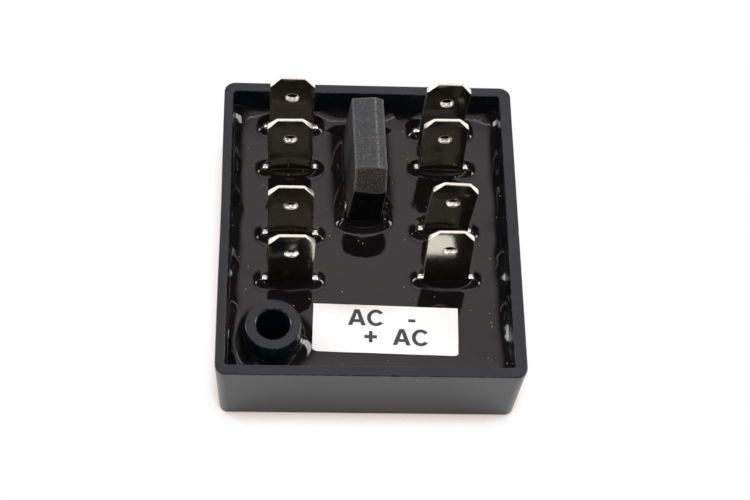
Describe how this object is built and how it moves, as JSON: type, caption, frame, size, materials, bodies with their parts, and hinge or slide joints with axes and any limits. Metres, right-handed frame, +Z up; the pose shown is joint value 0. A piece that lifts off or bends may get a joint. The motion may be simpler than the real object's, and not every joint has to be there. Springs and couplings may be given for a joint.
{
  "type": "bridge rectifier",
  "caption": "Bridge rectifier module: open black tray filled with black resin, double push-on blade terminals, in-line bridge body, corner screw tube and a white polarity label",
  "frame": {"origin": "centre of the tray's underside, which is the bottom centre of the whole part", "axes": "+Z up out of the tray's opening, -Y towards the label side, +X right when seen from the label side"},
  "size_m": [0.042, 0.0472, 0.0211],
  "materials": {
    "tray": "black moulded plastic, satin",
    "resin": "black potting resin, glossy",
    "board": "glass-filled epoxy laminate",
    "copper": "bare copper foil",
    "solder": "bright solder",
    "terminal": "tin-plated brass, bright",
    "bridge": "moulded epoxy, matte with fine specks",
    "lead": "tinned copper wire",
    "label": "white self-adhesive label"
  },
  "bodies": {
    "root": {"case": "tray", "potting_resin": "resin", "circuit_board": "board", "track_plus": "copper", "track_minus": "copper", "track_ac_left": "copper", "track_ac_right": "copper", "solder_plus": "solder", "solder_minus": "solder", "solder_ac_left": "solder", "solder_ac_right": "solder", "terminal_plus": "terminal", "terminal_minus": "terminal", "terminal_ac_left": "terminal", "terminal_ac_right": "terminal", "bridge_body": "bridge", "lead_plus": "lead", "lead_ac_front": "lead", "lead_ac_rear": "lead", "lead_minus": "lead", "label": "label"}
  },
  "joints": []
}
